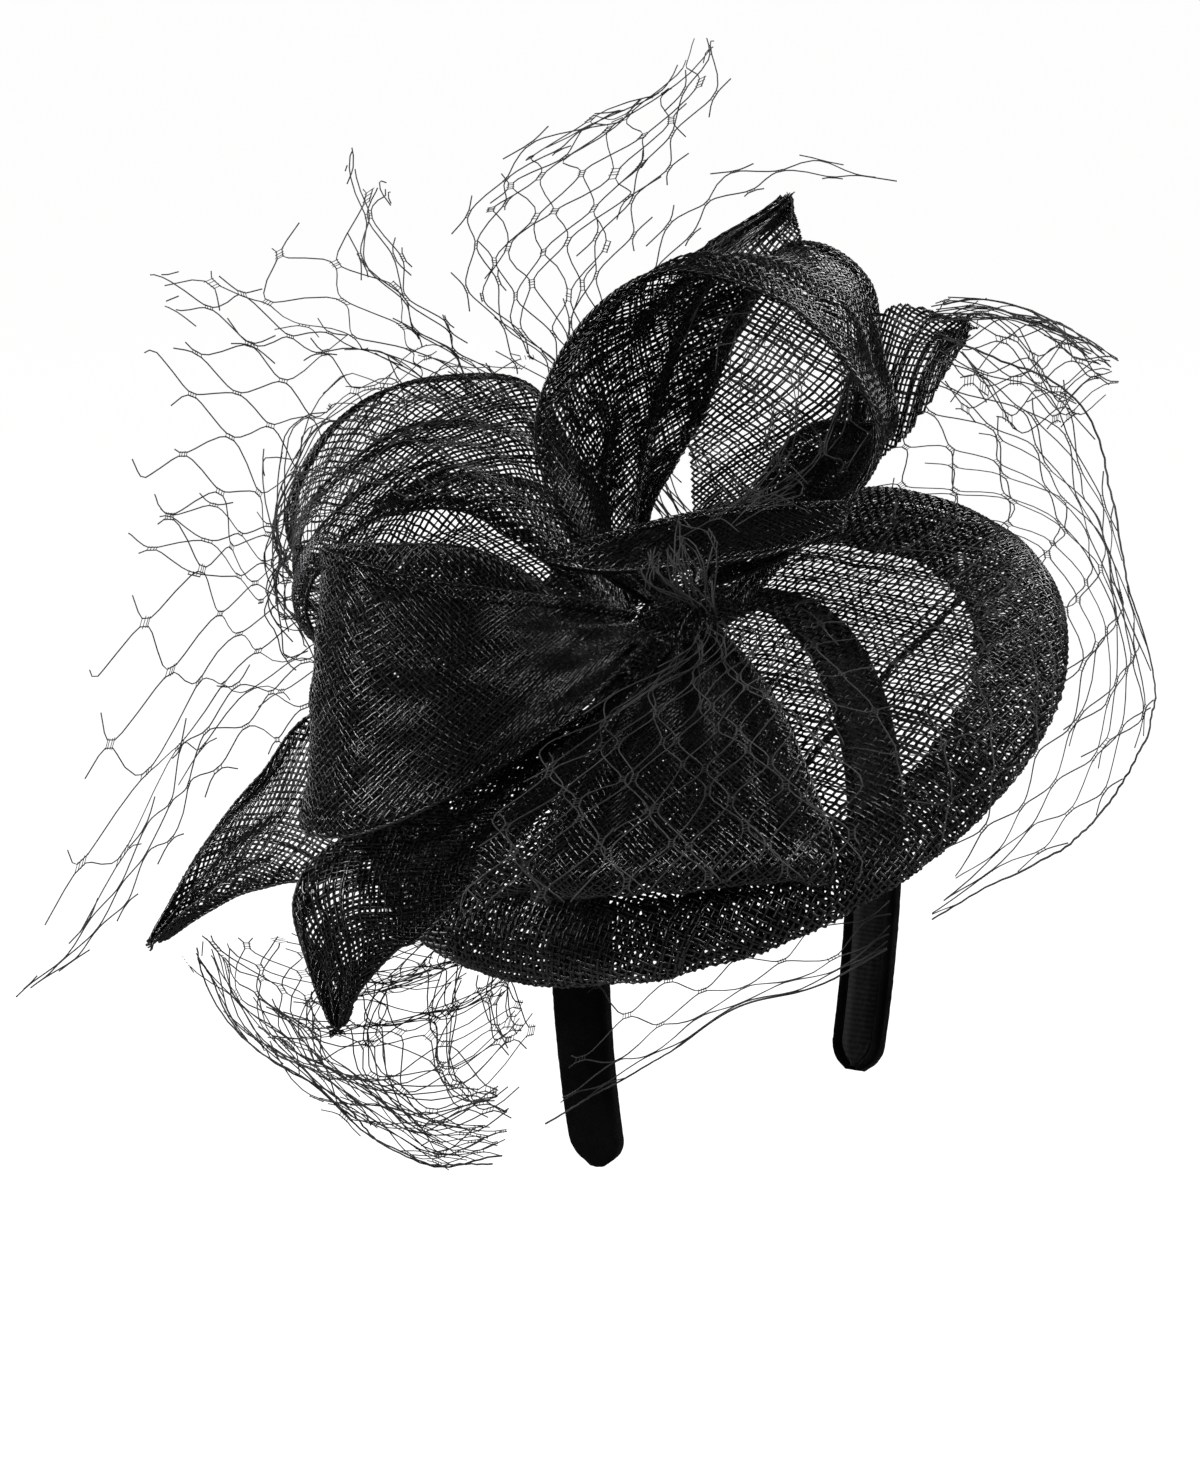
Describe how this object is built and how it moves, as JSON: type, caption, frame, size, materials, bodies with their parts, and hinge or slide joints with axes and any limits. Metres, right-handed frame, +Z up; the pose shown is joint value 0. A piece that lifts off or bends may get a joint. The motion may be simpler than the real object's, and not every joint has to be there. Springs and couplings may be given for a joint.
{
  "type": "fascinator headpiece",
  "caption": "Velvet alice band carrying a tilted round sinamay base with ribbon loops, cut ribbon tails and open diamond veiling.",
  "frame": {"origin": "middle of the band's inner face at the top of its arch, where the piece sits on the head", "axes": "+Z up, the wearer faces -Y, the wearer's right side is -X; the band lies in the XZ plane"},
  "size_m": [0.2283, 0.245, 0.281],
  "materials": {
    "sinamay": "stiffened open-weave straw, black, slight sheen",
    "sinamay_ribbon": "bias-cut open-weave straw ribbon, black, slight sheen",
    "netting": "open diamond veiling, matt black thread",
    "velvet": "black velvet pile",
    "lining": "black grosgrain tape",
    "spring_steel": "bare spring strip and wire",
    "thread": "black sewing thread"
  },
  "bodies": {
    "headpiece": {"crown_shell": "sinamay", "under_flange": "sinamay", "edge_wire": "spring_steel", "band_core_arch": "spring_steel", "band_cover_arch": "velvet", "band_lining_arch": "lining", "loop_upper_right": "sinamay_ribbon", "loop_left": "sinamay_ribbon", "loop_front_left": "sinamay_ribbon", "loop_front_low": "sinamay_ribbon", "tail_left": "sinamay_ribbon", "tail_lower_left": "sinamay_ribbon", "tail_top": "sinamay_ribbon", "tail_right": "sinamay_ribbon", "centre_fold": "sinamay_ribbon", "fold_leaf": "sinamay_ribbon", "veil_side": "netting", "veil_horn": "netting", "veil_under": "netting", "veil_pouf": "netting", "veil_left_strip": "netting", "veil_left_upper": "netting", "veil_spray_far_left": "netting", "veil_spray_back": "netting", "veil_spray_curled": "netting", "veil_spray_tall": "netting", "veil_spray_long": "netting", "veil_front": "netting", "veil_puff": "netting", "binding_thread": "thread", "band_stitches": "thread"},
    "right_leg": {"band_core_right_leg": "spring_steel", "band_cover_right_leg": "velvet", "band_lining_right_leg": "lining"},
    "left_leg": {"band_core_left_leg": "spring_steel", "band_cover_left_leg": "velvet", "band_lining_left_leg": "lining"}
  },
  "joints": [
    {"name": "right_leg_flex", "type": "hinge", "parent": "headpiece", "child": "right_leg", "pos_m": [-0.06149, 0, -0.0315], "axis": [0, 1, 0], "range_deg": [0, 12], "stiffness_Nm_per_rad": 0.7},
    {"name": "left_leg_flex", "type": "hinge", "parent": "headpiece", "child": "left_leg", "pos_m": [0.06149, 0, -0.0315], "axis": [0, -1, 0], "range_deg": [0, 12], "stiffness_Nm_per_rad": 0.7}
  ]
}
